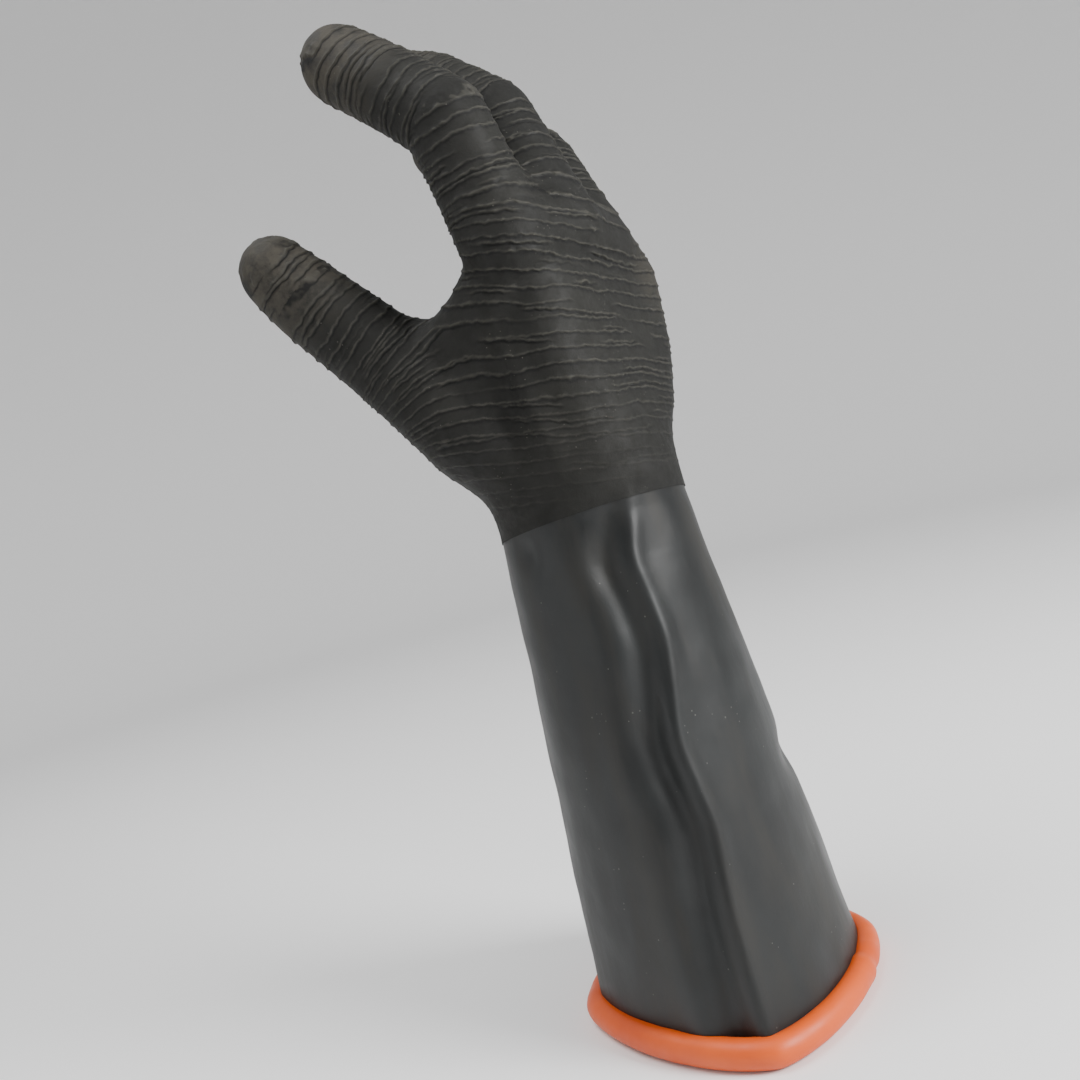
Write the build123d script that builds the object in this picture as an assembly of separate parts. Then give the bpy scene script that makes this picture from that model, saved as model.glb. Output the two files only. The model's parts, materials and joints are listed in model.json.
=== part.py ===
from build123d import *
import math
import os
from dataclasses import dataclass

os.makedirs("parts", exist_ok=True)

# A long electrical insulating glove for the right hand, moulded in rubber.
# Row frame: +Z runs up the sleeve to the fingertips, +X is the back of the hand,
# -Y is the thumb side. The origin is the centre of the cuff opening, on the plane
# that the rolled bead stands on. Sizes are in millimetres and degrees.

# Rubber walls, and the room left where parts turn on each other
coat_wall = 1.1
liner_wall = 1.0
joint_gap = 0.5
ball_step = 0.4
wedge_spare = 3.0
ball_cover = 36.0

# Rolled bead round the cuff opening
bead_width = 11.0
bead_height = 10.0
bead_foot_round = 4.0
bead_top_round = 4.6
bead_set_out = 1.5

# Gauntlet sleeve: a rounded diamond at the cuff, round at the wrist
sleeve_length = 190.0
cuff_long_corner = 77.5
cuff_short_corner = 64.0
cuff_long_round = 23.0
cuff_short_round = 44.0
cuff_turn = -50.0
wrist_radius = 35.0
wrist_flat = 0.5
wrist_back = -6.0
wrist_side = -7.0
wrist_bend_in = 30.0
wrist_bend_out = 25.0

# Pose that the hand is moulded in, relative to the sleeve
hand_tilt_back = 6.0
hand_tilt_side = -7.0

# Palm sections: height above the wrist, half width, half thickness, centre to the side, to the back
palm_sections = (
    (0.0, 35.0, 35.0, 0.0, 0.0),
    (26.0, 39.0, 29.0, -1.0, 0.0),
    (56.0, 46.0, 22.0, -1.0, 1.0),
    (88.0, 53.0, 17.0, -1.0, 1.0),
)

# Web of rubber between the thumb and the first finger
web_rim_radius = 10.5
web_plate_inside_rim = 1.6
web_sag = 3.5


@dataclass
class Finger:
    """One finger: where it starts, how it is curled and how thick it is."""

    name: str
    knuckle: tuple        # (back, side, up) from the wrist, in the hand's own frame
    spread: float         # fan-out in the plane of the palm, towards the thumb
    curls: tuple          # moulded bend at the knuckle, middle and end joint
    lengths: tuple        # knuckle to middle joint, to end joint, to the fingertip's centre
    radii: tuple          # at the knuckle, root joint, middle joint, end joint, fingertip


fingers = (
    Finger("index", (2.0, -41.0, 96.0), 9.0, (20.0, 33.0, 4.0), (46.0, 28.0, 24.0),
           (16.0, 15.2, 14.9, 14.7, 14.0)),
    Finger("middle", (5.0, -14.0, 101.0), 0.0, (27.0, 30.0, 13.0), (50.0, 31.0, 25.0),
           (16.0, 15.2, 14.9, 14.7, 14.0)),
    Finger("ring", (2.0, 13.0, 97.0), -8.0, (32.0, 31.0, 15.0), (46.0, 29.0, 25.0),
           (15.5, 14.5, 14.2, 13.8, 13.0)),
    Finger("little", (-5.0, 38.0, 87.0), -16.0, (36.0, 31.0, 15.0), (42.0, 22.0, 23.0),
           (14.5, 13.4, 13.1, 12.6, 11.8)),
)
root_rise = 24.0
root_bend_in = 25.0
root_bend_out = 15.0
middle_bend_in = 40.0
middle_bend_out = 25.0
end_joint_share = 0.6

# Thumb: the ball of the thumb in the palm, then two hinged parts
thumb_base = (-22.0, -28.0, 30.5)
thumb_lengths = (49.0, 34.0, 16.0)
thumb_radii = (21.6, 16.8, 15.0, 13.2)
thumb_palmward = (40.5, 36.0, 34.0)
thumb_outward = (28.5, 34.0, 32.0)
thumb_pad_faces = (0.36, 0.16, 0.92)
thumb_root_bend_in = 20.0
thumb_root_bend_out = 25.0
thumb_end_bend_in = 25.0
thumb_end_bend_out = 15.0

# How the parts are cut: a cutter longer than any part, the turn that keeps a joint ball's seam
# out of the cuts, and how far past a joint a bar runs before it is cut, as a share of its radius
cutter_size = 150.0
seam_turn = 40.0
overrun = 0.6
equal_radius = 0.001

# The palm faces -X, and the hand's own frame is turned a little against the sleeve
palmward = Vector(-1, 0, 0)
hand_frame = (
    Location((wrist_back, wrist_side, sleeve_length))
    * Rotation(0, hand_tilt_back, 0)
    * Rotation(hand_tilt_side, 0, 0)
)


def taper(start, start_radius, end, end_radius):
    """A round tapered bar between two points."""
    run = end - start
    place = Plane(origin=start, z_dir=run)
    upright = (Align.CENTER, Align.CENTER, Align.MIN)
    if abs(start_radius - end_radius) < equal_radius:
        return place * Cylinder(start_radius, run.length, align=upright)
    return place * Cone(start_radius, end_radius, run.length, align=upright)


def ball(centre, radius):
    return Pos(*centre) * Sphere(radius)


def half_space(point, facing, hinge):
    """A large block that takes everything on the side of a plane that facing points to."""
    place = Plane(origin=point, x_dir=hinge, z_dir=facing)
    standing = (Align.CENTER, Align.CENTER, Align.MIN)
    return place * Box(cutter_size, cutter_size, cutter_size, align=standing)


@dataclass
class Bend:
    """A hinge inside the glove. A turn about +axis closes the hand, and one about -axis opens it."""

    centre: Vector
    axis: Vector
    along: Vector
    radius: float
    bend_in: float
    bend_out: float

    def leaning(self, angle):
        return self.along.rotate(Axis((0, 0, 0), self.axis), angle)

    def ball(self, radius):
        """A ball whose poles lie on the run through the joint, clear of the cuts' edges."""
        seam = self.axis.rotate(Axis((0, 0, 0), self.along), seam_turn)
        return Plane(origin=self.centre, x_dir=seam, z_dir=self.along) * Sphere(radius)

    def end_near_part(self, solid, inset):
        """Cut back the nearer part to make room for the bend, and close it with a smaller ball."""
        for angle in (self.bend_in / 2 + wedge_spare, -self.bend_out / 2 - wedge_spare):
            facing = self.leaning(angle)
            solid -= half_space(self.centre - facing * inset, facing, self.axis)
        return solid + self.ball(self.radius - ball_step - inset)

    def open_near_part(self, shell):
        """Open the ball, so that the hollow runs on into the next part."""
        facing = self.leaning((self.bend_in - self.bend_out) / 4)
        reach = (self.radius - ball_step) * math.sin(math.radians(ball_cover))
        place = Plane(origin=self.centre + facing * reach, z_dir=facing)
        upright = (Align.CENTER, Align.CENTER, Align.MIN)
        return shell - place * Cylinder(self.radius, self.radius, align=upright)

    def start_far_part(self, shell):
        """Cut the further part clear of the ball, and of the nearer part at both limits."""
        shell -= self.ball(self.radius - ball_step + joint_gap)
        for angle in (-self.bend_in / 2 - wedge_spare, self.bend_out / 2 + wedge_spare):
            shell -= half_space(self.centre, -self.leaning(angle), self.axis)
        return shell


def bar_into(start, start_radius, bend, inset):
    """A tapered bar from a point into a bend, long enough for the cuts to shape its end."""
    run = bend.centre - start
    share = 1 + bend.radius * overrun / run.length
    end = start + run * share
    end_radius = start_radius + (bend.radius - start_radius) * share
    return bend.end_near_part(taper(start, start_radius - inset, end, end_radius - inset), inset)


def bend_between(centre, near_run, far_run, pad, radius, bend_in, bend_out):
    along = (near_run.normalized() + far_run.normalized()).normalized()
    return Bend(centre, along.cross(pad).normalized(), along, radius, bend_in, bend_out)


def two_layers(make_solid, finish):
    """The outer coat and the inner layer of one part, each a shell with its own wall."""
    outside = make_solid(0.0)
    between = make_solid(coat_wall)
    inside = make_solid(coat_wall + liner_wall)
    return finish(outside - between), finish(between - inside)


# ------------------------------------------------------------------ joints of the hand
def finger_run(finger, curl):
    """Direction of a finger's bone that is curled by an angle from the plane of the palm."""
    fan = math.radians(finger.spread)
    bend = math.radians(curl)
    return Vector(-math.sin(bend), -math.cos(bend) * math.sin(fan), math.cos(bend) * math.cos(fan))


def finger_points(finger):
    """Knuckle, middle joint, end joint and fingertip centre."""
    points = [Vector(*finger.knuckle)]
    curl = 0.0
    for length, added in zip(finger.lengths, finger.curls):
        curl += added
        points.append(points[-1] + finger_run(finger, curl) * length)
    return points


def thumb_points():
    """Ball of the thumb, thumb root joint, end joint and thumb tip centre."""
    points = [Vector(*thumb_base)]
    for length, palm_angle, out_angle in zip(thumb_lengths, thumb_palmward, thumb_outward):
        low = math.radians(palm_angle)
        out = math.radians(out_angle)
        run = Vector(-math.sin(low), -math.sin(out) * math.cos(low), math.cos(low) * math.cos(out))
        points.append(points[-1] + run * length)
    return points


def finger_bends(finger):
    knuckle, middle, end, tip = finger_points(finger)
    first = (middle - knuckle).normalized()
    root = knuckle + first * root_rise
    end_in = middle_bend_in * end_joint_share
    end_out = middle_bend_out * end_joint_share
    return (
        bend_between(root, first, first, palmward, finger.radii[1], root_bend_in, root_bend_out),
        bend_between(middle, first, end - middle, palmward, finger.radii[2],
                     middle_bend_in, middle_bend_out),
        bend_between(end, end - middle, tip - end, palmward, finger.radii[3], end_in, end_out),
    )


def thumb_bends():
    base, root, end, tip = thumb_points()
    pad = Vector(*thumb_pad_faces)
    return (
        bend_between(root, root - base, end - root, pad, thumb_radii[1],
                     thumb_root_bend_in, thumb_root_bend_out),
        bend_between(end, end - root, tip - end, pad, thumb_radii[2],
                     thumb_end_bend_in, thumb_end_bend_out),
    )


bends = {finger.name: finger_bends(finger) for finger in fingers}
bends["thumb"] = thumb_bends()

# The wrist hinge is in the row frame, halfway between the sleeve's run and the hand's
wrist_centre = hand_frame.position
sleeve_run = Vector(0, 0, 1)
hand_run = (hand_frame * Pos(0, 0, 1)).position - wrist_centre
wrist_bend = bend_between(wrist_centre, sleeve_run, hand_run, palmward, wrist_radius,
                          wrist_bend_in, wrist_bend_out)


# ------------------------------------------------------------------ gauntlet and its bead
def diamond(long_corner, short_corner, long_round, short_round, offset):
    """A rounded diamond, moved outwards by an offset."""
    long_half_angle = math.atan2(short_corner, long_corner)
    long_reach = long_corner + offset / math.sin(long_half_angle)
    short_reach = short_corner + offset / math.cos(long_half_angle)
    corners = [(long_reach, 0), (0, short_reach), (-long_reach, 0), (0, -short_reach)]
    rounds = [long_round + offset, short_round + offset] * 2
    return make_face(FilletPolyline(*corners, radius=rounds, close=True))


def cuff_outline(offset):
    outline = diamond(cuff_long_corner, cuff_short_corner, cuff_long_round, cuff_short_round, offset)
    return Rotation(0, 0, cuff_turn) * outline


def wrist_outline(offset):
    corner = wrist_radius * math.sqrt(2)
    outline = diamond(corner, corner, wrist_radius - wrist_flat, wrist_radius - wrist_flat, offset)
    return Rotation(0, 0, cuff_turn) * outline


def sleeve_solid(inset):
    foot = Pos(0, 0, bead_height / 2) * cuff_outline(-inset)
    top = Pos(wrist_back, wrist_side, sleeve_length) * wrist_outline(-inset)
    return wrist_bend.end_near_part(loft([foot, top], ruled=True), inset)


def make_sleeve():
    return two_layers(sleeve_solid, wrist_bend.open_near_part)


def make_bead(sleeve_layers):
    """The rolled edge, standing on its flattened foot and gripping the end of both layers."""
    half_width = bead_width / 2
    ring = extrude(
        cuff_outline(bead_set_out + half_width) - cuff_outline(bead_set_out - half_width),
        bead_height,
    )
    foot_edges = ring.edges().group_by(Axis.Z)[0]
    ring = fillet(foot_edges, bead_foot_round)
    top_edges = ring.faces().sort_by(Axis.Z)[-1].edges()
    ring = fillet(top_edges, bead_top_round)
    for layer in sleeve_layers:
        ring -= layer
    return ring


# ------------------------------------------------------------------ palm with its finger stubs
def palm_body(inset):
    outlines = []
    for height, half_width, half_thickness, side, back in palm_sections:
        level = height - (inset if height == palm_sections[-1][0] else 0.0)
        outline = Ellipse(half_thickness - inset, half_width - inset)
        outlines.append(Pos(back, side, level) * outline)
    return loft(outlines)


def web(inset):
    """A plate from the ball of the thumb to a round rim that sags between thumb and first finger."""
    base, thumb_root = thumb_points()[:2]
    knuckle = Vector(*fingers[0].knuckle)
    middle = (thumb_root + knuckle) * 0.5
    rim_middle = middle + (base - middle).normalized() * (web_sag + web_rim_radius)
    rim = ThreePointArc(thumb_root, rim_middle, knuckle)
    face = make_face([Line(base, thumb_root), rim, Line(knuckle, base)])
    plate = extrude(face, web_rim_radius - web_plate_inside_rim - inset, both=True)
    rim_end = Plane(origin=rim @ 0, z_dir=rim % 0)
    return plate + sweep(rim_end * Circle(web_rim_radius - inset), path=rim)


def hand_solid(inset):
    solid = palm_body(inset) + web(inset)
    for finger in fingers:
        knuckle = Vector(*finger.knuckle)
        root = bends[finger.name][0]
        solid += ball(knuckle, finger.radii[0] - inset)
        solid += bar_into(knuckle, finger.radii[0], root, inset)
    base = Vector(*thumb_base)
    solid += ball(base, thumb_radii[0] - inset)
    return solid + bar_into(base, thumb_radii[0], bends["thumb"][0], inset)


def open_hand(shell):
    """Open the palm into every finger, then cut its lower end clear of the wrist."""
    for finger_joints in bends.values():
        shell = finger_joints[0].open_near_part(shell)
    return wrist_bend.start_far_part(shell.moved(hand_frame))


# ------------------------------------------------------------------ parts of the fingers
def make_middle_link(near, far):
    """The part between two bends, open at both ends."""

    def solid(inset):
        return bar_into(near.centre, near.radius, far, inset)

    def finish(shell):
        return far.open_near_part(near.start_far_part(shell))

    return two_layers(solid, finish)


def make_tip(near, tip_centre, tip_radius):
    """The closed end of a finger."""

    def solid(inset):
        bar = taper(near.centre, near.radius - inset, tip_centre, tip_radius - inset)
        return bar + ball(tip_centre, tip_radius - inset)

    return two_layers(solid, near.start_far_part)


def main_solid(shape):
    """The largest solid of a cut shape, without the crumbs that a cut may leave."""
    return max(shape.solids(), key=lambda solid: solid.volume)


nodes = {}


def add_layers(name, layers, frame=None):
    for layer, shape in zip(("coat", "liner"), layers):
        solid = main_solid(shape)
        nodes[name + "_" + layer] = solid if frame is None else solid.moved(frame)


sleeve_layers = make_sleeve()
add_layers("sleeve", sleeve_layers)
nodes["cuff_bead"] = main_solid(make_bead(sleeve_layers))
add_layers("palm", two_layers(hand_solid, open_hand))
for finger in fingers:
    root, middle, end = bends[finger.name]
    tip_centre = finger_points(finger)[-1]
    add_layers(finger.name + "_base", make_middle_link(root, middle), hand_frame)
    add_layers(finger.name + "_middle", make_middle_link(middle, end), hand_frame)
    add_layers(finger.name + "_tip", make_tip(end, tip_centre, finger.radii[-1]), hand_frame)
thumb_root, thumb_end = bends["thumb"]
add_layers("thumb_base", make_middle_link(thumb_root, thumb_end), hand_frame)
add_layers("thumb_tip", make_tip(thumb_end, thumb_points()[-1], thumb_radii[-1]), hand_frame)

for name, solid in nodes.items():
    solid.label = name
    export_step(solid, os.path.join("parts", name + ".step"))
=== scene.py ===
import json
import math

import bpy
import numpy as np
from mathutils import Matrix, Vector, noise


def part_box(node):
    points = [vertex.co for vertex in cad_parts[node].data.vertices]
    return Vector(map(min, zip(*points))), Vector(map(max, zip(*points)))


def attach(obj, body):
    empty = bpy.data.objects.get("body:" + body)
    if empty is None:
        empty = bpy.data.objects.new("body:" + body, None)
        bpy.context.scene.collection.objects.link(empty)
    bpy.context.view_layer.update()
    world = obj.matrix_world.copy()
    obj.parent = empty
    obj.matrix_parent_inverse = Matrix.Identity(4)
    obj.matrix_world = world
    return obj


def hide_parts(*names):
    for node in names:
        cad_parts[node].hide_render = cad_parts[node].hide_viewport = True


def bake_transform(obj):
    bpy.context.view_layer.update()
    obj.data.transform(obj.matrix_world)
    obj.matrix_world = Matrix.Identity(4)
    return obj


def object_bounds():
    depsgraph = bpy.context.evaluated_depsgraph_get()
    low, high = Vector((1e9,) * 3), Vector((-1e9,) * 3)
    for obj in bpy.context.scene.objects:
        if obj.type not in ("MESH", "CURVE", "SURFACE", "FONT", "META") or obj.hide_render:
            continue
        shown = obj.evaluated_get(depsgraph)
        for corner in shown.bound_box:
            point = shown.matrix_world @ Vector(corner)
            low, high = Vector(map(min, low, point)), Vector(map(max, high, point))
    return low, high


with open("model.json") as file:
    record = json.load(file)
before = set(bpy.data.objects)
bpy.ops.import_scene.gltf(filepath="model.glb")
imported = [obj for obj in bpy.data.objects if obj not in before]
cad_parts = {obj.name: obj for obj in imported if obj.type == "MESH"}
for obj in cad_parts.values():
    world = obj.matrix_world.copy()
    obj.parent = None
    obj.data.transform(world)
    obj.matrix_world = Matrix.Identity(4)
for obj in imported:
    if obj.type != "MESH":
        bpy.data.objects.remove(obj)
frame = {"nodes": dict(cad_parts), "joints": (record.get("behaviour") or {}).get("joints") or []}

cad_low, cad_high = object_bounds()


# ---------------------------------------------------------------------------------------------
# The stand: a sheet of pale paper that curves up behind the glove, three large soft lights, and a
# camera held slightly turned that looks at the thumb side and the back of the hand.
def look_from(azimuth, elevation, turn, distance, target):
    """The camera's place and turn, with its own up tilted by turn about the line of sight."""
    side = math.radians(azimuth)
    lift = math.radians(elevation)
    back = Vector((math.sin(side) * math.cos(lift), -math.cos(side) * math.cos(lift), math.sin(lift)))
    right = (-back).cross(Vector((0, 0, 1))).normalized()
    above = right.cross(-back)
    roll = math.radians(turn)
    across = right * math.cos(roll) + above * math.sin(roll)
    upward = above * math.cos(roll) - right * math.sin(roll)
    axes = Matrix((across, upward, back)).transposed().to_4x4()
    return Matrix.Translation(target + back * distance) @ axes


camera_data = bpy.data.cameras.new("camera")
camera_data.sensor_width = 36.0
camera_data.lens = 40.73
camera_data.clip_start = 0.01
camera = bpy.data.objects.new("camera", camera_data)
bpy.context.scene.collection.objects.link(camera)
camera_target = Vector((-0.0321, -0.0083, 0.1835))
camera_distance = 0.4695
camera.matrix_world = look_from(37.05, 4.47, -14.38, camera_distance, camera_target)
bpy.context.scene.camera = camera

floor_size, floor_flat, floor_rise = 7.0, 1.3, 0.75
bpy.ops.object.select_all(action="DESELECT")
bpy.ops.mesh.primitive_grid_add(x_subdivisions=120, y_subdivisions=120, size=floor_size)
floor = bpy.context.object
floor.name = "floor"
for corner in floor.data.vertices:
    corner.co.z = floor_rise * max(0.0, corner.co.xy.length - floor_flat) ** 2
bpy.ops.object.shade_smooth()
floor_paint = bpy.data.materials.new("floor_paper")
floor_paint.use_nodes = True
paper = floor_paint.node_tree.nodes["Principled BSDF"]
paper.inputs["Base Color"].default_value = (0.93, 0.93, 0.93, 1)
paper.inputs["Roughness"].default_value = 0.9
floor.data.materials.append(floor_paint)

world = bpy.data.worlds.new("studio")
world.use_nodes = True
world.node_tree.nodes["Background"].inputs["Color"].default_value = (1, 1, 1, 1)
world.node_tree.nodes["Background"].inputs["Strength"].default_value = 0.48
bpy.context.scene.world = world


def soft_light(name, place, aim, size, power):
    lamp = bpy.data.lights.new(name, "AREA")
    lamp.shape = "DISK"
    lamp.size = size
    lamp.energy = power
    holder = bpy.data.objects.new(name, lamp)
    holder.location = place
    holder.rotation_mode = "QUATERNION"
    holder.rotation_quaternion = (Vector(place) - aim).to_track_quat("Z", "Y")
    bpy.context.scene.collection.objects.link(holder)


glove_middle = (cad_low + cad_high) / 2
soft_light("key_light", (1.00, 0.10, 0.65), glove_middle, 0.6, 22.0)
soft_light("top_light", (-0.30, -0.35, 1.20), glove_middle, 0.8, 10.0)
soft_light("side_light", (-0.70, -0.90, 0.35), glove_middle, 0.6, 1.0)


# ---------------------------------------------------------------------------------------------
# Smooth sleeve coat: black rubber dipped over the orange lining, from the rolled edge up to the
# wrist. It is soft, so one long fold runs up the corner that faces forward, and the wall waves.
joints = {joint["name"]: joint for joint in frame["joints"]}


def joint_centre(name):
    return Vector(joints[name]["pos_m"])


wrist = joint_centre("wrist_bend")
sleeve_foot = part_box("cuff_bead")[1].z / 2
coat_thickness = 0.0009
sleeve_turn = math.radians(-50)
sleeve_long, sleeve_short, sleeve_power = 0.0648, 0.0513, 1.5
wrist_radius = 0.0352
sleeve_steps_round, sleeve_steps_up = 300, 150
dip_drop, dip_slope_back, dip_slope_side = 0.0015, 0.136, -0.079
sleeve_overlap = 0.0045
wrist_zone = (wrist + Vector((0, 0, -0.034)), wrist + Vector((0.003, 0, 0.034)))
crease_heights = (0.0, 0.036, 0.056, 0.080, 0.096, 0.112, 0.128, 0.145, 0.160, 0.174, 0.186, 0.200)
crease_turns = (-55.5, -55, -54, -50.5, -53, -54.5, -50, -45.5, -47, -49.5, -43, -37)
crease_depths = (1.7, 2.3, 2.4, 2.2, 2.5, 2.5, 2.2, 1.9, 1.7, 1.8, 1.0, 0.0)
crease_soften = 0.004


def smooth(value, low, high):
    share = np.clip((value - low) / (high - low), 0.0, 1.0)
    return share * share * (3 - 2 * share)


def hump(value, centre, width):
    return np.exp(-((value - centre) / width) ** 2)


def wave(points, scale, seed, detail=1):
    """Smooth random heights between about -1 and 1, one for each point, the same each run."""
    shift = Vector((seed * 7.31, seed * 3.17, seed * 5.93))
    total = np.zeros(len(points))
    for octave in range(detail):
        part = [noise.noise(Vector(p) * scale * 2 ** octave + shift) for p in points]
        total += np.array(part) / 2 ** octave
    return total


def sleeve_radius(turn, height):
    """The sleeve's radius round its own centre line: a rounded diamond that becomes round."""
    rise = np.clip((height - sleeve_foot) / (wrist.z - sleeve_foot), 0.0, 1.0)
    across = np.abs(np.cos(turn - sleeve_turn)) / sleeve_long
    along = np.abs(np.sin(turn - sleeve_turn)) / sleeve_short
    diamond = (across ** sleeve_power + along ** sleeve_power) ** (-1 / sleeve_power)
    return diamond * (1 - rise) + wrist_radius * rise


def sleeve_centre(height):
    rise = np.clip((height - sleeve_foot) / (wrist.z - sleeve_foot), 0.0, 1.3)
    return wrist.x * rise, wrist.y * rise


def sleeve_folds(turn, height, radius):
    """How far the wall stands out or in from its plain shape: the long fold and the soft waves."""
    path = 0
    for shift in (-crease_soften, 0.0, crease_soften):
        path = path + np.radians(np.interp(height + shift, crease_heights, crease_turns)) / 3
    millimetre = 0.001
    depth = np.interp(height, crease_heights, crease_depths) * millimetre
    aside = (turn - path) * radius
    fold = depth * (1.0 * hump(aside, 0.004, 0.0042) - 1.7 * hump(aside, -0.0045, 0.0055))
    fold += depth * (0.7 * hump(aside, -0.016, 0.007) - 0.35 * hump(aside, 0.015, 0.008))
    dent = -0.0022 * hump(np.degrees(turn), 30, 15) * hump(height, 0.086, 0.007)
    pinch = -0.0016 * hump(np.degrees(turn), -104, 9) * hump(height, 0.182, 0.006)
    pinch += -0.0011 * hump(np.degrees(turn), -62, 8) * hump(height, 0.176, 0.014)
    return fold + dent + pinch


def dip_height(places):
    """Where the grip coat ends over the sleeve: a slightly tilted ring round the wrist."""
    slope = dip_slope_back * (places[:, 0] - wrist.x) + dip_slope_side * (places[:, 1] - wrist.y)
    return wrist.z - dip_drop + slope


def clear_selection():
    if bpy.context.mode != "OBJECT":
        bpy.ops.object.mode_set(mode="OBJECT")
    bpy.ops.object.select_all(action="DESELECT")


def vertex_places(piece):
    places = np.empty(len(piece.data.vertices) * 3)
    piece.data.vertices.foreach_get("co", places)
    return places.reshape(-1, 3)


def move_vertices(piece, places):
    piece.data.vertices.foreach_set("co", places.ravel())
    piece.data.update()


def apply_modifier(piece, kind, **settings):
    modifier = piece.modifiers.new(kind.lower(), kind)
    for name, value in settings.items():
        setattr(modifier, name, value)
    bpy.context.view_layer.objects.active = piece
    bpy.ops.object.modifier_apply(modifier=modifier.name)


def add_tube(name, steps_round, steps_up, place):
    """A flat grid rolled up into a tube, its shape given by place(turn, share of height)."""
    clear_selection()
    bpy.ops.mesh.primitive_grid_add(x_subdivisions=steps_round, y_subdivisions=steps_up, size=1)
    tube = bpy.context.object
    tube.name = name
    flat = vertex_places(tube)
    turn = (flat[:, 0] + 0.5) * 2 * math.pi - math.pi
    move_vertices(tube, place(turn, flat[:, 1] + 0.5))
    bpy.ops.object.mode_set(mode="EDIT")
    bpy.ops.mesh.select_all(action="SELECT")
    bpy.ops.mesh.remove_doubles(threshold=1e-6)
    bpy.ops.mesh.normals_make_consistent(inside=False)
    bpy.ops.object.mode_set(mode="OBJECT")
    bpy.ops.object.shade_smooth()
    return tube


def sleeve_place(inset, past_dip):
    """A place function for a tube that follows the sleeve, drawn in by inset."""
    def place(turn, share):
        rim = np.column_stack((
            wrist.x + wrist_radius * np.cos(turn), wrist.y + wrist_radius * np.sin(turn)))
        top = dip_height(rim) + past_dip
        bottom = sleeve_foot * 0.5
        height = bottom + share * (top - bottom)
        middle_x, middle_y = sleeve_centre(height)
        radius = sleeve_radius(turn, height) - inset
        plain = np.column_stack((radius * np.cos(turn), radius * np.sin(turn), height))
        radius = radius + sleeve_folds(turn, height, radius)
        calm = smooth(height, sleeve_foot, sleeve_foot + 0.012)
        calm = calm * (1 - smooth(height, wrist.z - 0.02, wrist.z))
        radius = radius + calm * (0.0007 * wave(plain, 28.0, 3) + 0.00022 * wave(plain, 90.0, 5))
        return np.column_stack((
            middle_x + radius * np.cos(turn), middle_y + radius * np.sin(turn), height))
    return place


sleeve = add_tube(
    "sleeve_skin", sleeve_steps_round, sleeve_steps_up, sleeve_place(0.0, sleeve_overlap))
apply_modifier(sleeve, "SOLIDIFY", thickness=coat_thickness, offset=-1.0)


def new_group(name, inputs, outputs):
    group = bpy.data.node_groups.new(name, "ShaderNodeTree")
    for label, value in inputs:
        socket = group.interface.new_socket(label, in_out="INPUT", socket_type="NodeSocketFloat")
        socket.default_value = value
    for label in outputs:
        group.interface.new_socket(label, in_out="OUTPUT", socket_type="NodeSocketFloat")
    return group, group.nodes.new("NodeGroupInput"), group.nodes.new("NodeGroupOutput")


def noise_node(tree, coords, scale, detail, roughness=0.5):
    node = tree.nodes.new("ShaderNodeTexNoise")
    node.inputs["Detail"].default_value = detail
    node.inputs["Roughness"].default_value = roughness
    node.inputs["Scale"].default_value = scale
    tree.links.new(coords, node.inputs["Vector"])
    return node


def ramp_node(tree, value, low, high, start=0.0, end=1.0):
    """Stretches the part of a value between low and high to run from start to end."""
    node = tree.nodes.new("ShaderNodeMapRange")
    node.interpolation_type = "SMOOTHSTEP"
    for label, number in (("From Min", low), ("From Max", high), ("To Min", start), ("To Max", end)):
        node.inputs[label].default_value = number
    tree.links.new(value, node.inputs["Value"])
    return node.outputs["Result"]


def make_speck_group():
    """Grains of talc and lint that stick to rubber, and the cloudy mottling of a dipped coat."""
    group, given, result = new_group(
        "rubber_specks", (("Scale", 260.0), ("Amount", 0.05)), ("Specks", "Mottling"))
    coords = group.nodes.new("ShaderNodeTexCoord").outputs["Object"]
    cells = group.nodes.new("ShaderNodeTexVoronoi")
    group.links.new(coords, cells.inputs["Vector"])
    group.links.new(given.outputs["Scale"], cells.inputs["Scale"])
    near = group.nodes.new("ShaderNodeMath")
    near.operation = "LESS_THAN"
    group.links.new(cells.outputs["Distance"], near.inputs[0])
    group.links.new(given.outputs["Amount"], near.inputs[1])
    chosen = noise_node(group, coords, 70.0, 2.0)
    patch = ramp_node(group, chosen.outputs["Fac"], 0.55, 0.6)
    both = group.nodes.new("ShaderNodeMath")
    both.operation = "MULTIPLY"
    group.links.new(near.outputs[0], both.inputs[0])
    group.links.new(patch, both.inputs[1])
    group.links.new(both.outputs[0], result.inputs["Specks"])
    cloud = noise_node(group, coords, 22.0, 5.0, 0.6)
    group.links.new(ramp_node(group, cloud.outputs["Fac"], 0.32, 0.68), result.inputs["Mottling"])
    return group


speck_group = make_speck_group()


def mix_colours(tree, share, first, second):
    node = tree.nodes.new("ShaderNodeMix")
    node.data_type = "RGBA"
    tree.links.new(share, node.inputs[0])
    for socket, colour in ((node.inputs[6], first), (node.inputs[7], second)):
        if isinstance(colour, tuple):
            socket.default_value = (*colour, 1)
        else:
            tree.links.new(colour, socket)
    return node.outputs[2]


def bump_node(tree, height, distance, strength, before=None):
    node = tree.nodes.new("ShaderNodeBump")
    node.inputs["Distance"].default_value = distance
    node.inputs["Strength"].default_value = strength
    tree.links.new(height, node.inputs["Height"])
    if before is not None:
        tree.links.new(before, node.inputs["Normal"])
    return node.outputs["Normal"]


def place_group(tree, group, **values):
    node = tree.nodes.new("ShaderNodeGroup")
    node.node_tree = group
    for label, value in values.items():
        node.inputs[label].default_value = value
    return node


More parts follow.
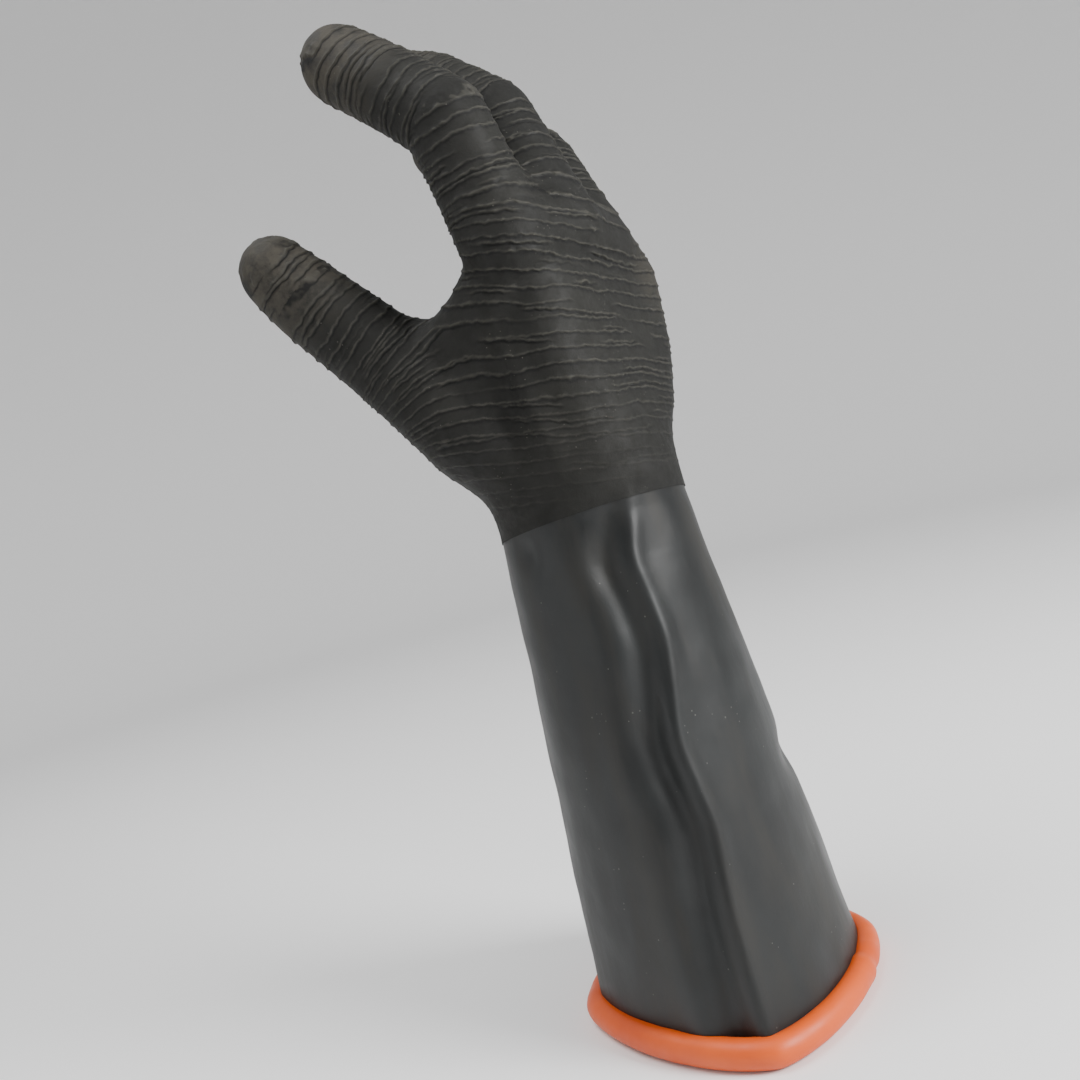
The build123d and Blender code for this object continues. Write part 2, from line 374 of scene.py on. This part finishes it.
def make_sleeve_rubber():
    """Half-gloss black rubber with a cold tint, with faint runs down its length and some talc."""
    material = bpy.data.materials.new("smooth_black_rubber")
    material.use_nodes = True
    tree = material.node_tree
    shader = tree.nodes["Principled BSDF"]
    specks = place_group(tree, speck_group, Scale=300.0, Amount=0.09)
    base = mix_colours(
        tree, specks.outputs["Mottling"], (0.0036, 0.0044, 0.0044), (0.0075, 0.0090, 0.0090))
    coords = tree.nodes.new("ShaderNodeTexCoord").outputs["Object"]
    drawn_out = tree.nodes.new("ShaderNodeMapping")
    drawn_out.inputs["Scale"].default_value = (1.0, 1.0, 0.22)
    tree.links.new(coords, drawn_out.inputs["Vector"])
    runs = noise_node(tree, drawn_out.outputs["Vector"], 70.0, 5.0, 0.6)
    run_mask = ramp_node(tree, runs.outputs["Fac"], 0.42, 0.72)
    streaked = mix_colours(tree, run_mask, base, (0.0125, 0.0120, 0.0100))
    talc = mix_colours(tree, specks.outputs["Specks"], streaked, (0.07, 0.07, 0.062))
    tree.links.new(talc, shader.inputs["Base Color"])
    rough = ramp_node(tree, runs.outputs["Fac"], 0.3, 0.7, 0.38, 0.52)
    tree.links.new(rough, shader.inputs["Roughness"])
    grain = noise_node(tree, coords, 900.0, 3.0, 0.6)
    soft = noise_node(tree, coords, 60.0, 3.0)
    fine = bump_node(tree, grain.outputs["Fac"], 0.00005, 0.6)
    tree.links.new(bump_node(tree, soft.outputs["Fac"], 0.0009, 0.25, fine), shader.inputs["Normal"])
    shader.inputs["Specular IOR Level"].default_value = 0.38
    return material


sleeve.data.materials.append(make_sleeve_rubber())
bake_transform(sleeve)
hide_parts("sleeve_coat")


# ---------------------------------------------------------------------------------------------
# Rolled edge: the end of the orange lining rolled into a thick bead and fused, with one lap where
# the roll was closed. The glove stands on it, so its foot is flat.
bead_radius = 0.0053
bead_out = 0.0012
bead_foot = 0.0004
bead_steps_round, bead_steps_section = 240, 28


def bead_place(turn, share):
    """A ring of the bead's own round section, following the foot of the sleeve."""
    section = share * 2 * math.pi
    ring = np.column_stack((np.cos(turn), np.sin(turn), np.zeros_like(turn)))
    thick = bead_radius * (1 + 0.045 * wave(ring, 2.2, 11) + 0.02 * wave(ring, 9.0, 12))
    lap = hump(np.degrees(turn), 12, 3.2)
    thick = thick * (1 - 0.10 * lap + 0.06 * hump(np.degrees(turn), 6, 3))
    path = sleeve_radius(turn, np.full_like(turn, sleeve_foot)) + bead_out
    out = path + thick * np.cos(section)
    up = np.maximum(sleeve_foot + bead_foot + thick * np.sin(section), bead_foot)
    return np.column_stack((out * np.cos(turn), out * np.sin(turn), up))


bead = add_tube("rolled_cuff_bead", bead_steps_round, bead_steps_section, bead_place)


def make_orange_rubber(name, light, dark, roughness):
    """Clean orange rubber, a little cloudy, with fine waves from the dipping."""
    material = bpy.data.materials.new(name)
    material.use_nodes = True
    tree = material.node_tree
    shader = tree.nodes["Principled BSDF"]
    specks = place_group(tree, speck_group, Scale=420.0, Amount=0.05)
    base = mix_colours(tree, specks.outputs["Mottling"], dark, light)
    dusty = mix_colours(tree, specks.outputs["Specks"], base, tuple(part * 0.45 for part in dark))
    tree.links.new(dusty, shader.inputs["Base Color"])
    coords = tree.nodes.new("ShaderNodeTexCoord").outputs["Object"]
    cloud = noise_node(tree, coords, 120.0, 4.0)
    rough = ramp_node(tree, cloud.outputs["Fac"], 0.3, 0.7, roughness, roughness + 0.12)
    tree.links.new(rough, shader.inputs["Roughness"])
    tree.links.new(bump_node(tree, cloud.outputs["Fac"], 0.0003, 0.5), shader.inputs["Normal"])
    return material


bead_rubber = make_orange_rubber(
    "orange_bead_rubber", (0.66, 0.086, 0.0005), (0.53, 0.060, 0.0005), 0.42)
bead.data.materials.append(bead_rubber)
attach(bead, "gauntlet")
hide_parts("cuff_bead")


# ---------------------------------------------------------------------------------------------
# Grip coat: a second dip of black rubber over hand and fingers, wrinkled before it set, so thin
# torn ridges run across it. It ends in a thin line at the wrist, over the smooth sleeve.
hand_turn = Matrix.Rotation(math.radians(6), 3, "Y") @ Matrix.Rotation(math.radians(-7), 3, "X")
knuckle_rise = 0.024
thumb_heel_back, thumb_heel_side, thumb_heel_up = -0.022, -0.028, 0.0305
finger_radii = {
    "index": (0.0165, 0.0152, 0.0149, 0.0147, 0.0140),
    "middle": (0.0165, 0.0152, 0.0149, 0.0147, 0.0140),
    "ring": (0.0158, 0.0145, 0.0142, 0.0138, 0.0130),
    "little": (0.0150, 0.0134, 0.0131, 0.0126, 0.0118),
    "thumb": (0.0216, 0.0168, 0.0150, 0.0132),
}
palm_sections = (
    (-0.014, 0.0352, 0.0352, 0.0), (0.0, 0.0352, 0.0352, 0.0), (0.026, 0.039, 0.029, 0.0),
    (0.056, 0.0455, 0.022, 0.001), (0.088, 0.0455, 0.0165, 0.0))


def in_hand(back, side, up):
    return wrist + hand_turn @ Vector((back, side, up))


def finger_line(name):
    """The middle line of a finger: its knuckle, its joints, and the centre of its round end."""
    parts = ("root", "end") if name == "thumb" else ("root", "middle", "end")
    line = [joint_centre(f"{name}_{part}_bend") for part in parts]
    if name == "thumb":
        line.insert(0, in_hand(thumb_heel_back, thumb_heel_side, thumb_heel_up))
    else:
        line.insert(0, line[0] - (line[1] - line[0]).normalized() * knuckle_rise)
    shell = vertex_places(frame["nodes"][f"{name}_tip_coat"]) - np.array(line[-1])
    reach = np.linalg.norm(shell, axis=1)
    farthest = Vector(shell[reach.argmax()])
    line.append(line[-1] + farthest * (1 - finger_radii[name][-1] / farthest.length))
    return line


finger_lines = {name: finger_line(name) for name in finger_radii}


def add_ball(place, radius, flat=1.0):
    """A ball, or with flat below 1 a disc-like one, that a tight skin can be drawn over."""
    bpy.ops.mesh.primitive_uv_sphere_add(segments=28, ring_count=14, radius=radius, location=place)
    ball = bpy.context.object
    ball.scale.z = flat
    return ball


def wrap(name, balls):
    """The tight skin round some balls, as one closed piece."""
    clear_selection()
    made = [add_ball(*ball) for ball in balls]
    for ball in made:
        ball.select_set(True)
    bpy.context.view_layer.objects.active = made[0]
    bpy.ops.object.transform_apply(location=True, rotation=True, scale=True)
    if len(made) > 1:
        bpy.ops.object.join()
    skin = bpy.context.object
    skin.name = name
    bpy.ops.object.mode_set(mode="EDIT")
    bpy.ops.mesh.select_all(action="SELECT")
    bpy.ops.mesh.convex_hull()
    bpy.ops.object.mode_set(mode="OBJECT")
    return skin


hand_parts = []
for name, line in finger_lines.items():
    radii = finger_radii[name]
    for start in range(len(line) - 1):
        ends = [(line[place], radii[place]) for place in (start, start + 1)]
        hand_parts.append(wrap(f"{name}_{start}", ends))


def palm_balls(section):
    height, half_width, half_thickness, back = section
    aside = half_width - half_thickness
    sides = (-aside, aside) if aside > 0.001 else (0.0,)
    disc_flatness = 0.25
    return [(in_hand(back, side, height), half_thickness, disc_flatness) for side in sides]


for lower, upper in zip(palm_sections, palm_sections[1:]):
    hand_parts.append(wrap("palm_part", palm_balls(lower) + palm_balls(upper)))
top_balls = palm_balls(palm_sections[-1])
cleft_radius = 0.0115
for first, second in zip(("index", "middle", "ring"), ("middle", "ring", "little")):
    pair = [(finger_lines[name][0], finger_radii[name][0] * 0.97) for name in (first, second)]
    hand_parts.append(wrap("knuckle_part", pair + top_balls))
    cleft = [finger_lines[name][0].lerp(finger_lines[name][1], 0.62) for name in (first, second)]
    pair = [(place, cleft_radius) for place in cleft]
    hand_parts.append(wrap("cleft_part", pair + [(in_hand(0.002, 0.0, 0.085), 0.015)]))
thumb_root, index_knuckle = finger_lines["thumb"][1], finger_lines["index"][0]
thumb_base = finger_lines["thumb"][0]
web_middle = (thumb_root + index_knuckle) / 2
web_down = (thumb_base - web_middle).normalized()
web_radius, web_sag, web_steps = 0.0105, 0.0135, 6
web_line = []
for step in range(web_steps + 1):
    share = step / web_steps
    sag = web_sag * 4 * share * (1 - share)
    web_line.append(thumb_root.lerp(index_knuckle, share) + web_down * sag)
for first, second in zip(web_line, web_line[1:]):
    hand_parts.append(wrap("web_part", [
        (first, web_radius), (second, web_radius),
        (thumb_base, 0.019), (in_hand(-0.002, -0.018, 0.06), 0.018)]))
hand_parts.append(wrap("thumb_heel", [
    (thumb_base, 0.0216), (thumb_root, 0.0150), (in_hand(-0.004, -0.006, 0.008), 0.030),
    (in_hand(-0.004, -0.012, 0.050), 0.018)]))
clear_selection()
for part in hand_parts:
    part.select_set(True)
bpy.context.view_layer.objects.active = hand_parts[0]
bpy.ops.object.join()
hand = bpy.context.object
hand.name = "hand_skin"
apply_modifier(hand, "REMESH", mode="VOXEL", voxel_size=0.0015)
apply_modifier(hand, "SMOOTH", factor=0.5, iterations=22)


def segment_nearest(places, start, end):
    """How far along a straight bone each point lies, from 0 to 1, and how far off it is."""
    bone = np.array(end - start)
    reach = places - np.array(start)
    share = np.clip(reach @ bone / (bone @ bone), 0, 1)
    return share, np.linalg.norm(reach - share[:, None] * bone, axis=1)


def finger_nearest(places, name):
    """Distance outside a finger's plain skin, and length along the finger from its first point."""
    line, radii = finger_lines[name], finger_radii[name]
    best = np.full(len(places), 1e9)
    along = np.zeros(len(places))
    passed = 0.0
    for start in range(len(line) - 1):
        length = (line[start + 1] - line[start]).length
        share, away = segment_nearest(places, line[start], line[start + 1])
        away = away - (radii[start] * (1 - share) + radii[start + 1] * share)
        closer = away < best
        best = np.where(closer, away, best)
        along = np.where(closer, passed + share * length, along)
        passed += length
    return best, along


def from_wrist(places):
    """Places measured from the wrist in the hand's own frame: to the back, to the side and up."""
    return (places - np.array(wrist)) @ np.array(hand_turn)


def vertex_normals(piece):
    normals = np.empty(len(piece.data.vertices) * 3, np.float32)
    piece.data.vertices.foreach_get("normal", normals)
    return normals.reshape(-1, 3)


tendon_start, tendon_length = 0.0055, 0.0585


def tendon_lift(places):
    """A raised tendon with a hollow on each side, on the thumb side of the back of the hand."""
    local = from_wrist(places)
    along = (local[:, 2] - tendon_start) / tendon_length
    aside = local[:, 0] - (0.0140 - 0.0155 * along)
    window = smooth(along, -0.05, 0.20) * (1 - smooth(along, 0.80, 1.15))
    window = window * smooth(-local[:, 1], 0.015, 0.030)
    shape = 0.0008 * hump(aside, 0, 0.0026) - 0.0019 * hump(aside, -0.0090, 0.0070)
    return window * (shape - 0.0011 * hump(aside, 0.0080, 0.0050))


def cut_below(piece, centre, normal):
    """Takes off what lies behind a plane, leaving an open edge."""
    clear_selection()
    piece.select_set(True)
    bpy.context.view_layer.objects.active = piece
    bpy.ops.object.mode_set(mode="EDIT")
    bpy.ops.mesh.select_all(action="SELECT")
    bpy.ops.mesh.bisect(plane_co=centre, plane_no=normal, clear_inner=True)
    bpy.ops.object.mode_set(mode="OBJECT")


def shape_hand(piece):
    """The soft rises and hollows that coat and lining share."""
    places = vertex_places(piece)
    calm = smooth(places[:, 2], wrist.z + 0.02, wrist.z + 0.05)
    lift = 0.00055 * wave(places, 26.0, 71) * calm + tendon_lift(places)
    move_vertices(piece, places + vertex_normals(piece) * lift[:, None])


shape_hand(hand)
dip_normal = Vector((-dip_slope_back, -dip_slope_side, 1))
plain_hand = hand.copy()
plain_hand.data = hand.data.copy()
bpy.context.scene.collection.objects.link(plain_hand)
cut_below(hand, wrist + Vector((0, 0, -dip_drop)), dip_normal)
apply_modifier(hand, "SUBSURF", levels=1, render_levels=1)


coat_step = 0.0004


def conform_to_sleeve(piece):
    """Draws the lowest part of the grip coat onto the sleeve, a thin step proud of it."""
    places = vertex_places(piece)
    rise = places[:, 2] - dip_height(places)
    middle_x, middle_y = sleeve_centre(places[:, 2])
    aside = np.column_stack((places[:, 0] - middle_x, places[:, 1] - middle_y))
    turn = np.arctan2(aside[:, 1], aside[:, 0])
    radius = np.linalg.norm(aside, axis=1)
    wanted = sleeve_radius(turn, places[:, 2])
    wanted = wanted + sleeve_folds(turn, places[:, 2], wanted) + coat_step
    share = 1 - smooth(rise, 0.006, 0.034)
    radius = radius * (1 - share) + wanted * share
    places[:, 0] = np.where(share > 0, middle_x + radius * np.cos(turn), places[:, 0])
    places[:, 1] = np.where(share > 0, middle_y + radius * np.sin(turn), places[:, 1])
    move_vertices(piece, places)


conform_to_sleeve(hand)


ridge_gap = 0.0052
ridge_height, groove_depth = 0.00072, 0.00028
ridge_front, ridge_back = 0.00030, 0.00080


def ridge_coordinate(places):
    """A length that grows from the wrist out along every finger, so ridges can lie across it."""
    height = from_wrist(places)[:, 2]
    nearest = np.full(len(places), 1e9)
    finger_length = np.zeros(len(places))
    finger_start = np.zeros(len(places))
    for name in ("index", "middle", "ring", "little"):
        away, along = finger_nearest(places, name)
        closer = away < nearest
        nearest = np.where(closer, away, nearest)
        finger_length = np.where(closer, along, finger_length)
        knuckle_height = from_wrist(np.array([finger_lines[name][0]]))[0, 2]
        finger_start = np.where(closer, knuckle_height, finger_start)
    share = smooth(finger_length, 0.001, 0.020)
    length = height * (1 - share) + (finger_start + finger_length) * share
    away, along = finger_nearest(places, "thumb")
    share = smooth(along, 0.004, 0.058) * np.exp(-np.maximum(away - nearest * 0.25, 0) / 0.020)
    return length * (1 - share) + (thumb_heel_up + along) * share


def line_wave(points, lines, scale, seed):
    """Smooth random values that are different on each numbered line."""
    return np.array([
        noise.noise(Vector(p) * scale + Vector((line * 13.7, seed * 3.1, line * 5.3)))
        for p, line in zip(points, lines)])


def ridge_field(places, shift, keep_low, keep_high, seed):
    """Signed distance past the nearest ridge, and how much of the ridge is there, 0 to 1."""
    length = ridge_coordinate(places)
    length = length + 0.0021 * wave(places, 24.0, seed) + 0.0011 * wave(places, 75.0, seed + 1)
    length = length + 0.00058 * wave(places, 290.0, seed + 2, 2)
    count = length / ridge_gap + shift
    line = np.round(count)
    past = (count - line) * ridge_gap
    keep = smooth(line_wave(places, line, 34.0, seed), keep_low, keep_high)
    return past, keep


def ridge_sets(places):
    rise = places[:, 2] - dip_height(places)
    fade = 0.22 + 0.78 * smooth(rise, 0.010, 0.052)
    edge = smooth(rise, 0.003, 0.008)
    sets = [ridge_field(places, 0.0, -0.62, -0.30, 21), ridge_field(places, 0.5, 0.0, 0.22, 41)]
    return [(past, keep * fade * edge) for past, keep in sets]


def face_centres(piece):
    centres = np.empty(len(piece.data.polygons) * 3)
    piece.data.polygons.foreach_get("center", centres)
    return centres.reshape(-1, 3)


def start_face_choice(piece):
    """Makes a piece the only chosen one, with none of its faces chosen."""
    clear_selection()
    bpy.context.view_layer.objects.active = piece
    piece.select_set(True)
    bpy.ops.object.mode_set(mode="EDIT")
    bpy.ops.mesh.select_mode(type="FACE")
    bpy.ops.mesh.select_all(action="DESELECT")
    bpy.ops.object.mode_set(mode="OBJECT")


def refine_ridges(piece):
    """Cuts the faces near a ridge finer, so that its torn edge is in the shape itself."""
    near = np.zeros(len(piece.data.polygons), bool)
    for past, keep in ridge_sets(face_centres(piece)):
        near |= (keep > 0.06) & (past > -0.0013) & (past < 0.0010)
    start_face_choice(piece)
    piece.data.polygons.foreach_set("select", near)
    bpy.ops.object.mode_set(mode="EDIT")
    bpy.ops.mesh.subdivide(number_cuts=1)
    bpy.ops.object.mode_set(mode="OBJECT")


def store(piece, name, values):
    attribute = piece.data.attributes.new(name, "FLOAT", "POINT")
    attribute.data.foreach_set("value", np.asarray(values, np.float32))


def raise_ridges(piece):
    """Lifts the torn edges of the wrinkles and sinks the line in front of each."""
    places = vertex_places(piece)
    rough = 0.62 + 0.55 * wave(places, 420.0, 61)
    lift = np.zeros(len(places))
    crest_highlight_mask = np.zeros(len(places))
    groove_shade_mask = np.zeros(len(places))
    for past, keep in ridge_sets(places):
        behind = np.exp(-np.maximum(past, 0) / ridge_back) * (past >= 0)
        before = np.clip(1 + past / ridge_front, 0, 1) * (past < 0)
        crest_and_highlight = (behind + before) * keep * np.clip(rough, 0.25, 1.3)
        groove_and_shade = hump(past, -0.00078, 0.00038) * keep
        lift = np.maximum(lift, ridge_height * crest_and_highlight) - groove_depth * groove_and_shade
        crest_highlight_mask = np.maximum(crest_highlight_mask, crest_and_highlight * (past < 0.0005))
        groove_shade_mask = np.maximum(groove_shade_mask, groove_and_shade)
    lift = lift + 0.00010 * wave(places, 150.0, 72)
    move_vertices(piece, places + vertex_normals(piece) * lift[:, None])
    # The crest mask carries a painted highlight on each ridge, and the groove mask a painted shade
    # before it, into the colour.
    store(piece, "crest_and_highlight", crest_highlight_mask)
    store(piece, "groove_and_shade", groove_shade_mask)


def wear_and_highlight_parts(places):
    """Where the coat is grey-brown from wear and a painted highlight: the finger ends and the outer
    edge of the knuckles.
    """
    wear_and_highlight = np.zeros(len(places))
    for name, line in finger_lines.items():
        away = np.linalg.norm(places - np.array(line[-1]), axis=1)
        wear_and_highlight = np.maximum(wear_and_highlight, 1 - smooth(away, 0.013, 0.040))
    little = np.linalg.norm(places - np.array(finger_lines["little"][0]), axis=1)
    return np.maximum(wear_and_highlight, 0.8 * (1 - smooth(little, 0.015, 0.038)))


refine_ridges(hand)
raise_ridges(hand)
# Grey-brown at the finger ends and the knuckle edge: wear together with a painted highlight.
store(hand, "wear_and_highlight", wear_and_highlight_parts(vertex_places(hand)))
bpy.ops.object.shade_smooth()


def make_grip_rubber():
    """Dull black rubber, grey-brown at the finger ends from wear and a painted highlight, with a
    painted highlight along its torn ridges and painted shade in the groove before each.
    """
    material = bpy.data.materials.new("wrinkled_black_rubber")
    material.use_nodes = True
    tree = material.node_tree
    shader = tree.nodes["Principled BSDF"]
    specks = place_group(tree, speck_group, Scale=520.0, Amount=0.10)
    base = mix_colours(
        tree, specks.outputs["Mottling"], (0.0058, 0.0058, 0.0048), (0.0105, 0.0104, 0.0084))
    masks = {}
    for name in ("crest_and_highlight", "groove_and_shade", "wear_and_highlight"):
        reader = tree.nodes.new("ShaderNodeAttribute")
        reader.attribute_name = name
        masks[name] = reader.outputs["Fac"]
    coords = tree.nodes.new("ShaderNodeTexCoord").outputs["Object"]
    patchy = noise_node(tree, coords, 170.0, 5.0, 0.7)
    spread = tree.nodes.new("ShaderNodeMath")
    spread.operation = "MULTIPLY"
    tree.links.new(masks["wear_and_highlight"], spread.inputs[0])
    tree.links.new(ramp_node(tree, patchy.outputs["Fac"], 0.25, 0.65), spread.inputs[1])
    # Grey-brown at the finger ends and the knuckle edge: wear together with a painted highlight.
    wear_and_highlight_colour = mix_colours(tree, spread.outputs[0], base, (0.046, 0.041, 0.032))
    # Painted shade: the groove before each ridge is coloured near black.
    dark = mix_colours(tree, masks["groove_and_shade"], wear_and_highlight_colour, (0.0010, 0.0010, 0.0009))
    # Painted highlight: the crest of each ridge is coloured light grey-brown.
    light = mix_colours(tree, masks["crest_and_highlight"], dark, (0.044, 0.042, 0.034))
    talc = mix_colours(tree, specks.outputs["Specks"], light, (0.07, 0.066, 0.055))
    tree.links.new(talc, shader.inputs["Base Color"])
    rough = ramp_node(tree, patchy.outputs["Fac"], 0.3, 0.7, 0.62, 0.78)
    tree.links.new(rough, shader.inputs["Roughness"])
    grain = noise_node(tree, coords, 1500.0, 4.0, 0.7)
    pits = noise_node(tree, coords, 420.0, 3.0, 0.6)
    fine = bump_node(tree, grain.outputs["Fac"], 0.00010, 0.7)
    tree.links.new(bump_node(tree, pits.outputs["Fac"], 0.00022, 0.6, fine), shader.inputs["Normal"])
    shader.inputs["Specular IOR Level"].default_value = 0.26
    return material


hand.data.materials.append(make_grip_rubber())


def root_zone(name):
    """Start and end of the stretch of skin that bends at a finger's first joint."""
    line = finger_lines[name]
    bone = (line[2] - line[1]).normalized()
    if name == "thumb":
        return line[1] + bone * 0.001, line[1] + bone * 0.015
    length = (line[2] - line[1]).length
    return line[1] + bone * 0.003, line[1] + bone * (length - 0.008)


def middle_zone(name):
    """The same for a finger's second joint."""
    line = finger_lines[name]
    return root_zone(name)[1], line[2] + (line[3] - line[2]).normalized() * 0.010


def end_zone(name):
    """The same for the joint nearest a fingertip."""
    line = finger_lines[name]
    before = (line[-2] - line[-3]).normalized()
    after = (line[-1] - line[-2]).normalized()
    return line[-2] - before * 0.009, line[-2] + after * 0.007


def past_start(places, zone):
    start, end = np.array(zone[0]), np.array(zone[1])
    return (places - start) @ (end - start) > 0


skin_parts = [
    ("grip_wrist", "gauntlet", "hand", wrist_zone), ("grip_palm", "hand", None, None),
    ("grip_midhand", "hand", None, None), ("grip_knuckles", "hand", None, None)]
for name in finger_radii:
    skin_parts.append((f"grip_{name}_base", "hand", f"{name}_base", root_zone(name)))
    second = f"{name}_base"
    if name != "thumb":
        skin_parts.append((f"grip_{name}_middle", second, f"{name}_middle", middle_zone(name)))
        second = f"{name}_middle"
    skin_parts.append((f"grip_{name}_tip", second, f"{name}_tip", end_zone(name)))
palm_labels = ("grip_palm", "grip_midhand", "grip_knuckles")
midhand_from, knuckles_from = 0.055, 0.084
part_numbers = {part[0]: number for number, part in enumerate(skin_parts)}


def part_of_faces(piece):
    """The number of the skin part that each face belongs to, by its nearest finger and its zones."""
    centres = face_centres(piece)
    numbers = np.full(len(centres), part_numbers["grip_palm"])
    height = from_wrist(centres)[:, 2]
    numbers[height > midhand_from] = part_numbers["grip_midhand"]
    numbers[height > knuckles_from] = part_numbers["grip_knuckles"]
    numbers[centres[:, 2] < wrist_zone[1].z + 0.002] = part_numbers["grip_wrist"]
    away = np.array([finger_nearest(centres, name)[0] for name in finger_radii])
    nearest = away.argmin(axis=0)
    for row, name in enumerate(finger_radii):
        own = (nearest == row) & past_start(centres, root_zone(name))
        if name == "thumb":
            own &= away[row] < 0.005
        numbers[own] = part_numbers[f"grip_{name}_base"]
        if name != "thumb":
            own &= past_start(centres, middle_zone(name))
            numbers[own] = part_numbers[f"grip_{name}_middle"]
        own &= past_start(centres, end_zone(name))
        numbers[own] = part_numbers[f"grip_{name}_tip"]
    return numbers


def keep_normals(piece):
    """Remembers the whole skin's shading, so that no line shows where it is parted."""
    attribute = piece.data.attributes.new("whole_normal", "FLOAT_VECTOR", "POINT")
    attribute.data.foreach_set("vector", vertex_normals(piece).ravel())


def use_kept_normals(piece):
    kept = np.empty(len(piece.data.vertices) * 3, np.float32)
    piece.data.attributes["whole_normal"].data.foreach_get("vector", kept)
    piece.data.attributes.remove(piece.data.attributes["whole_normal"])
    piece.data.normals_split_custom_set_from_vertices(kept.reshape(-1, 3))


def part_skin(piece, prefix):
    """Parts a whole hand skin into one piece for each body or joint it covers."""
    keep_normals(piece)
    owner = piece.data.attributes.new("part", "INT", "FACE")
    owner.data.foreach_set("value", part_of_faces(piece).astype(np.int32))
    start_face_choice(piece)
    made = {"grip_wrist": piece}
    for label, *_ in reversed(skin_parts[1:]):
        clear_selection()
        piece.select_set(True)
        numbers = np.empty(len(piece.data.polygons), np.int32)
        piece.data.attributes["part"].data.foreach_get("value", numbers)
        piece.data.polygons.foreach_set("select", numbers == part_numbers[label])
        bpy.ops.object.mode_set(mode="EDIT")
        bpy.ops.mesh.separate(type="SELECTED")
        bpy.ops.object.mode_set(mode="OBJECT")
        made[label] = next(item for item in bpy.context.selected_objects if item is not piece)
    for label, first, second, zone in skin_parts:
        part = made[label]
        part.name = label.replace("grip", prefix)
        use_kept_normals(part)
        part.data.attributes.remove(part.data.attributes["part"])
        if second is None:
            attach(part, first)
        else:
            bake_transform(part)
    return made


def stand_in(parts, layer):
    """Hides the node whose place each part of a hand skin takes."""
    for label, part in parts.items():
        if label in palm_labels:
            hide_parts(f"palm_{layer}")
        elif label != "grip_wrist":
            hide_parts(label.replace("grip_", "") + f"_{layer}")


stand_in(part_skin(hand, "grip"), "coat")


# ---------------------------------------------------------------------------------------------
# Lining: a first dip of orange rubber that shows only inside the cuff and at its edge. It follows the
# coats from inside, in one tube up the arm and in parts over the hand.
lining_rubber = make_orange_rubber(
    "orange_lining_rubber", (0.62, 0.090, 0.001), (0.50, 0.065, 0.001), 0.5)
lining_gap, lining_thickness = 0.0011, 0.0008
lining_stop, hand_lining_stop = 0.004, 0.016
hand_lining_gap = lining_gap + 0.0006
sleeve_lining = add_tube("lining_sleeve", 150, 60, sleeve_place(lining_gap, -lining_stop))
apply_modifier(sleeve_lining, "SOLIDIFY", thickness=lining_thickness, offset=-1.0)
sleeve_lining.data.materials.append(lining_rubber)
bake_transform(sleeve_lining)
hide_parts("sleeve_liner")

plain_hand.name = "lining_skin"
cut_below(plain_hand, wrist + Vector((0, 0, -hand_lining_stop)), Vector((0, 0, 1)))
conform_to_sleeve(plain_hand)
inward = -vertex_normals(plain_hand) * hand_lining_gap
move_vertices(plain_hand, vertex_places(plain_hand) + inward)
plain_hand.data.materials.append(lining_rubber)
bpy.ops.object.shade_smooth()
stand_in(part_skin(plain_hand, "lining"), "liner")
